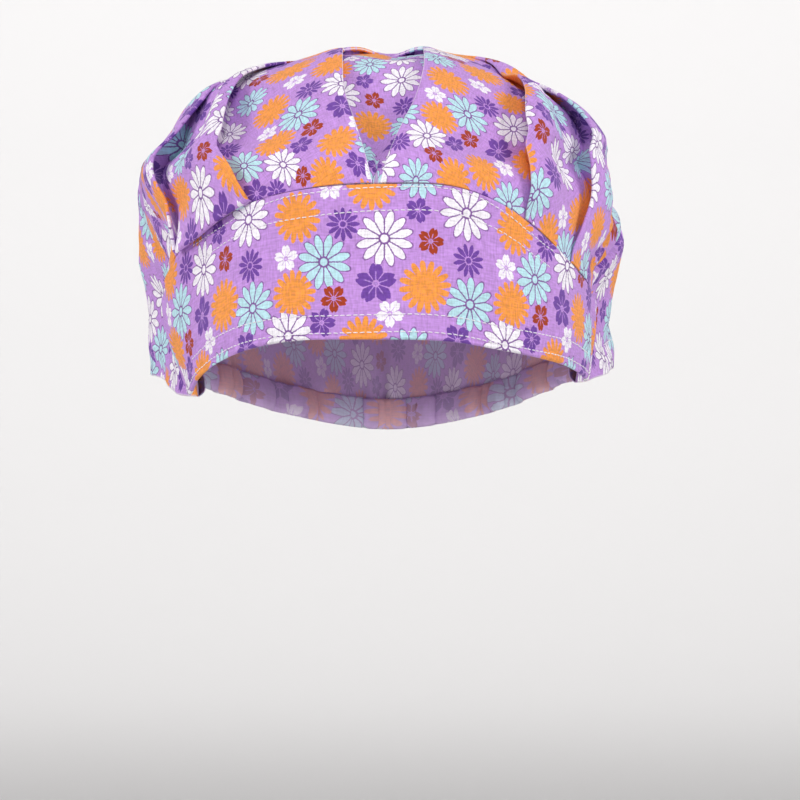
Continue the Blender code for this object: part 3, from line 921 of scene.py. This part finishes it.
    # Masks put together: the first of each pair takes the result
    for name, operation, other in (
        ("daisy", "MULTIPLY", "daisy_gap"),
        ("daisy", "MULTIPLY", "daisy_ring"),
        ("daisy", "MAXIMUM", "daisy_eye"),
        ("outline", "MAXIMUM", "outline_inside"),
        ("outline", "MULTIPLY", "is_daisy"),
        ("outline", "MULTIPLY", "outline_limit"),
        ("mum_lines", "MULTIPLY", "mum_outside"),
        ("mum_lines", "MAXIMUM", "mum_hoops"),
        ("mum_lines", "MULTIPLY", "is_mum"),
        ("aster", "MULTIPLY", "aster_gap"),
        ("aster", "MAXIMUM", "aster_eye"),
        ("blossom", "MULTIPLY", "blossom_notch"),
        ("blossom", "MULTIPLY", "blossom_gap"),
        ("blossom", "MAXIMUM", "blossom_eye"),
        ("blossom_lines", "MULTIPLY", "lines_reach"),
        ("blossom_lines", "MULTIPLY", "past_aster"),
    ):
        masks[name] = add(tree, MATH, {0: masks[name], 1: masks[other]}, operation=operation)
    inked = masks["mum"]
    for chosen, flower in (("is_daisy", "daisy"), ("past_mum", "aster"), ("past_aster", "blossom")):
        inked = add(tree, MIX, {0: masks[chosen], 2: inked, 3: masks[flower]}, data_type="FLOAT")

    inks = tree.nodes.new("ShaderNodeValToRGB")
    inks.color_ramp.interpolation = "CONSTANT"
    for number, (code, *_) in enumerate(FLOWERS.values()):
        at = number / len(FLOWERS)
        stop = inks.color_ramp.elements[number] if number < 2 else inks.color_ramp.elements.new(at)
        stop.position = at
        stop.color = linear(code)
    counted = add(tree, MATH, {0: kind, 1: 0.5}, operation="ADD")
    counted = add(tree, MATH, {0: counted, 1: len(FLOWERS)}, operation="DIVIDE")
    tree.links.new(counted, inks.inputs[0])

    ink = inks.outputs[0]
    for lines, strength, code in (("mum_lines", 0.6, "#DC7884"), ("blossom_lines", 0.75, "#C79BE6")):
        drawn = add(tree, MATH, {0: masks[lines], 1: strength}, operation="MULTIPLY")
        ink = add(tree, MIX, {0: drawn, 6: ink, 7: linear(code)}, out=2, data_type="RGBA")
    outlined = {0: masks["outline"], 6: linear("#C695E0"), 7: linear("#84569F")}
    printed = add(tree, MIX, outlined, out=2, data_type="RGBA")
    printed = add(tree, MIX, {0: inked, 6: printed, 7: ink}, out=2, data_type="RGBA")
    tree.links.new(printed, tree.nodes.new("NodeGroupOutput").inputs[0])
    return tree


def new_material(name, roughness, specular):
    """A material's shader, with its roughness and the strength of its highlights."""
    material = bpy.data.materials.new(name)
    material.use_nodes = True
    shader = material.node_tree.nodes["Principled BSDF"]
    shader.inputs["Roughness"].default_value = roughness
    shader.inputs["Specular IOR Level"].default_value = specular
    return material, material.node_tree, shader


def printed_cotton(name, group, start, faded=0.0):
    """Plain-woven cotton, reactive printed: matt, with a fine thread grain that breaks up the flat colours.
    Faded is how far its wrong side shows the print through, 0 on the face."""
    material, tree, shader = new_material(name, roughness=0.86, specular=0.25)
    flat = tree.nodes.new("ShaderNodeUVMap")
    flat.uv_map = "cloth"
    placed = tree.nodes.new("ShaderNodeMapping")
    placed.inputs["Location"].default_value = (start[0] * MM, start[1] * MM, 0.0)
    tree.links.new(flat.outputs[0], placed.inputs[0])
    place = placed.outputs[0]

    # The threads carry the ink a little unevenly, so its edges wander by a fifth of a millimetre
    wander = add(tree, "ShaderNodeTexNoise", {0: place, "Scale": 1900.0, "Detail": 1.0}, out=1)
    wander = add(tree, VECTOR, {0: wander, 1: (0.5, 0.5, 0.5)}, operation="SUBTRACT")
    shift = {0: wander, 1: (0.0005, 0.0005, 0.0), 2: place}
    inked_at = add(tree, VECTOR, shift, operation="MULTIPLY_ADD")
    pattern = tree.nodes.new("ShaderNodeGroup")
    pattern.node_tree = group
    tree.links.new(inked_at, pattern.inputs[0])
    colour = pattern.outputs[0]

    # Threads: real ones lie 0.36 mm apart, drawn 0.7 mm apart so that the weave shows at this size
    grain = 0.0
    for scales in ((1400.0, 260.0, 0.0), (260.0, 1400.0, 0.0)):
        thread = add(tree, VECTOR, {0: place, 1: scales}, operation="MULTIPLY")
        thread = add(tree, "ShaderNodeTexNoise", {0: thread, "Scale": 1.0, "Detail": 1.5})
        grain = add(tree, MATH, {0: grain, 1: thread}, operation="ADD")
    light = add(tree, RANGE, {0: grain, 1: 0.7, 2: 1.3, 3: 0.80, 4: 1.16})
    colour = add(tree, VECTOR, {0: colour, 3: light}, operation="SCALE")
    if faded:
        colour = add(tree, MIX, {0: faded, 6: colour, 7: linear("#D9C2E4")}, out=2, data_type="RGBA")
    # Painted highlight: the pressed edges of the folds and the back hem are mixed towards near white, as if
    # light caught them
    worn = tree.nodes.new("ShaderNodeAttribute")
    worn.attribute_name = "painted_highlight"
    worn = add(tree, RANGE, {0: worn.outputs["Fac"], 1: 0.25, 2: 0.85, 3: 0.0, 4: 0.8})
    colour = add(tree, MIX, {0: worn, 6: colour, 7: linear("#F4ECF6")}, out=2, data_type="RGBA")
    tree.links.new(colour, shader.inputs["Base Color"])
    shader.inputs["Sheen Weight"].default_value = 0.12
    shader.inputs["Sheen Roughness"].default_value = 0.5
    bump = add(tree, "ShaderNodeBump", {"Height": grain, "Strength": 0.35, "Distance": 0.00025})
    tree.links.new(bump, shader.inputs["Normal"])
    return material


def sewing_thread():
    """Spun polyester thread, white: a soft shine along each raised stitch."""
    material, tree, shader = new_material("spun_polyester_thread", roughness=0.6, specular=0.5)
    where = tree.nodes.new("ShaderNodeTexCoord").outputs["Object"]
    fibre = add(tree, "ShaderNodeTexNoise", {0: where, "Scale": 2600.0, "Detail": 2.0})
    pale = {0: fibre, 6: linear("#E9E0EE"), 7: linear("#FFFFFF")}
    tree.links.new(add(tree, MIX, pale, out=2, data_type="RGBA"), shader.inputs["Base Color"])
    bump = add(tree, "ShaderNodeBump", {"Height": fibre, "Strength": 0.4, "Distance": 0.0002})
    tree.links.new(bump, shader.inputs["Normal"])
    return material


def one_stitch(thread):
    """A single topstitch along X, modelled once: a short plump length of thread with both ends dipping in."""
    bpy.ops.object.select_all(action="DESELECT")
    along_x = (0, math.pi / 2, 0)
    bpy.ops.mesh.primitive_cylinder_add(vertices=6, radius=0.21 * MM, depth=1.8 * MM, rotation=along_x)
    stitch = bpy.context.active_object
    bpy.ops.object.transform_apply(location=True, rotation=True, scale=True)
    bpy.ops.object.mode_set(mode="EDIT")
    for cut in (0.5 * MM, -0.5 * MM):
        bpy.ops.mesh.select_all(action="SELECT")
        bpy.ops.mesh.bisect(plane_co=(cut, 0, 0), plane_no=(1, 0, 0))
    bpy.ops.object.mode_set(mode="OBJECT")
    for vertex in stitch.data.vertices:
        if abs(vertex.co.x) > 0.7 * MM:
            vertex.co.z -= 0.26 * MM
            vertex.co.y *= 0.6
    stitch.data.shade_smooth()
    stitch.data.materials.append(thread)
    return stitch


def read_line(line, along, place):
    """The vector at a place on a line of them."""
    return np.array([np.interp(place, along, line[:, axis]) for axis in range(3)])


def stitch_row(name, stitch, points, outs):
    """A row of topstitching: copies of one stitch laid along a line on the cloth, joined into one piece."""
    along = run_along(points)
    count = int(along[-1] / STITCH_PITCH)
    chance = np.random.default_rng(len(name))
    centres = (np.arange(count) + 0.5) * STITCH_PITCH + chance.normal(0, 0.05 * MM, count)
    shape = np.empty(len(stitch.data.vertices) * 3)
    stitch.data.vertices.foreach_get("co", shape)
    bpy.ops.object.select_all(action="DESELECT")
    copies = []
    for centre in centres:
        here, out = read_line(points, along, centre), read_line(outs, along, centre)
        forward = read_line(points, along, centre + 0.6 * MM) - read_line(points, along, centre - 0.6 * MM)
        forward /= np.linalg.norm(forward)
        out -= forward * out.dot(forward)
        out /= np.linalg.norm(out)
        across = np.cross(out, forward)
        tilt = chance.normal(0, 0.07)
        forward, across = forward + across * tilt, across - forward * tilt
        copy = stitch.copy()
        copy.data = stitch.data.copy()
        placed = here + out * 0.12 * MM + shape.reshape(-1, 3) @ np.stack([forward, across, out])
        copy.data.vertices.foreach_set("co", placed.ravel())
        bpy.context.scene.collection.objects.link(copy)
        copy.select_set(True)
        copies.append(copy)
    bpy.context.view_layer.objects.active = copies[0]
    bpy.ops.object.join()
    row = bpy.context.active_object
    row.name = row.data.name = name
    return row


def normals_of(points):
    """Outward unit normals of a grid of points, columns by rows."""
    across, up = np.gradient(points, axis=0), np.gradient(points, axis=1)
    outwards = np.cross(across, up)
    return outwards / np.linalg.norm(outwards, axis=-1, keepdims=True)


def make_crown(face, reverse):
    # The third result is the painted highlight along the folded edges and the back hem
    points, places, painted_highlight = crown_grid()
    top = (0.0, CROWN_SETBACK, CROWN_RISE - 0.9 * TOP_CHANNEL[2])
    crown = cloth_object("crown_cloth", points, places, closed=True, top=top, painted_highlight=painted_highlight)
    crown.data.materials.append(face)
    crown.data.materials.append(reverse)
    settings = {"thickness": CLOTH, "offset": 0.0, "use_even_offset": False}
    apply_modifier(crown, "SOLIDIFY", material_offset=1, material_offset_rim=0, **settings)
    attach(crown, "root")
    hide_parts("crown")
    return crown


def make_band(face):
    points, places = band_shell()
    band = cloth_object("front_band_cloth", points, places, closed=False, ring=True)
    band.data.materials.append(face)
    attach(band, "root")
    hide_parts("front_band")
    return band


def make_casing(reverse):
    points, places = casing_grid()
    casing = cloth_object("nape_casing_cloth", points, places, closed=False)
    casing.data.materials.append(reverse)
    apply_modifier(casing, "SOLIDIFY", thickness=CLOTH, offset=0.0, use_even_offset=False)
    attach(casing, "root")
    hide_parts("nape_casing")
    return casing


def make_topstitching(thread):
    """The band's four rows of stitches, and the row that closes the casing round the back."""
    stitch = one_stitch(thread)
    rows = []
    for name, (_, start, end) in STITCH_ROWS.items():
        azimuth = np.linspace(start, end, 500)
        up = np.stack([stitch_line(name, azimuth) + step for step in (-0.01, 0.01)], axis=1)
        turned = azimuth[:, None] + 0.0 * up
        middle, way = band_middle(turned, up)
        face = middle + way * (BAND_WALL / 2 + band_front(turned, up))[..., None]
        rows.append(stitch_row(f"topstitch_{name}", stitch, face.mean(axis=1), normals_of(face)[:, 0]))
    azimuth = round_the_nape(10, 900)[::-1, None]
    edge = crown_edge(azimuth)
    rise = CASING_STITCHES + np.array([-0.5 * MM, 0.5 * MM])[None, :]
    face = crown_cloth(azimuth + 0.0 * rise, level_of(edge + rise), edge + 0.0 * rise, 0.0)
    outs = normals_of(face)
    line = (face + outs * CLOTH / 2).mean(axis=1)
    rows.append(stitch_row("topstitch_casing", stitch, line, outs[:, 0]))
    bpy.data.objects.remove(stitch, do_unlink=True)
    for row in rows:
        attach(row, "root")
    return rows


def raise_rim(wider, higher):
    """Extends the selected face's rim by a ring that is wider and higher."""
    bpy.ops.mesh.region_to_loop()
    bpy.ops.mesh.extrude_edges_move()
    bpy.ops.transform.resize(value=(wider, wider, 1.0), center_override=(0, 0, 0))
    bpy.ops.transform.translate(value=(0, 0, higher))


def make_studio():
    """A plain pale floor that curves up behind the cap, soft even light, and the camera."""
    scene = bpy.context.scene
    paper, _, shader = new_material("matt_studio_paper", roughness=0.95, specular=0.1)
    shader.inputs["Base Color"].default_value = linear("#DAD9D9")
    bpy.ops.object.select_all(action="DESELECT")
    bpy.ops.mesh.primitive_circle_add(vertices=96, radius=2.3, fill_type="NGON", location=(0, 0, -0.30))
    floor = bpy.context.active_object
    floor.name = floor.data.name = "studio_floor"
    bpy.ops.object.mode_set(mode="EDIT")
    bpy.ops.mesh.select_all(action="SELECT")
    radius, height = 2.3, 0.0
    for turn in np.radians((15, 30, 45, 60, 75, 90)):
        wider, higher = 2.3 + 1.2 * math.sin(turn), 1.2 * (1 - math.cos(turn))
        raise_rim(wider / radius, higher - height)
        radius, height = wider, higher
    raise_rim(1.0, 1.3)
    bpy.ops.object.mode_set(mode="OBJECT")
    floor.data.shade_smooth()
    floor.data.materials.append(paper)

    world = bpy.data.worlds.new("studio_air")
    world.use_nodes = True
    world.node_tree.nodes["Background"].inputs["Color"].default_value = linear("#FAF8F7")
    world.node_tree.nodes["Background"].inputs["Strength"].default_value = 0.33
    scene.world = world
    cap = (0.0, 0.0, 0.03)
    for name, place, aim, size, power in (
        ("top_softbox", (0.1, -1.3, 1.8), cap, 1.0, 19.5),
        ("right_softbox", (2.0, -1.05, 0.5), cap, 0.9, 20.5),
        ("left_softbox", (-2.0, -1.05, 0.5), cap, 0.9, 21.5),
        ("backdrop_softbox", (0.0, 1.5, 2.3), (0.0, 3.5, 1.9), 2.4, 70),
    ):
        light = bpy.data.lights.new(name, "AREA")
        light.size = size
        light.energy = power
        lamp = bpy.data.objects.new(name, light)
        lamp.location = place
        away = np.array(place) - aim
        level = math.hypot(away[0], away[1])
        lamp.rotation_euler = (math.atan2(level, away[2]), 0, math.atan2(away[0], -away[1]))
        scene.collection.objects.link(lamp)

    camera = bpy.data.cameras.new("camera")
    camera.lens = 173.5
    camera.sensor_width = 36.0
    seen_from = bpy.data.objects.new("camera", camera)
    seen_from.location = (0.0062, -1.5, -0.022)
    seen_from.rotation_euler = (math.pi / 2, 0, 0)
    scene.collection.objects.link(seen_from)
    scene.camera = seen_from
    scene.view_settings.view_transform = "Standard"


make_studio()
daisies = daisy_print_group()
crown = make_crown(
    printed_cotton("crown_plain_weave_cotton", daisies, (20.0, 30.0)),
    printed_cotton("crown_cotton_wrong_side", daisies, (20.0, 30.0), faded=0.6),
)
band = make_band(printed_cotton("band_plain_weave_cotton", daisies, (0.0, 0.0)))
casing = make_casing(printed_cotton("casing_cotton_wrong_side", daisies, (40.0, 10.0), faded=0.6))
stitches = make_topstitching(sewing_thread())
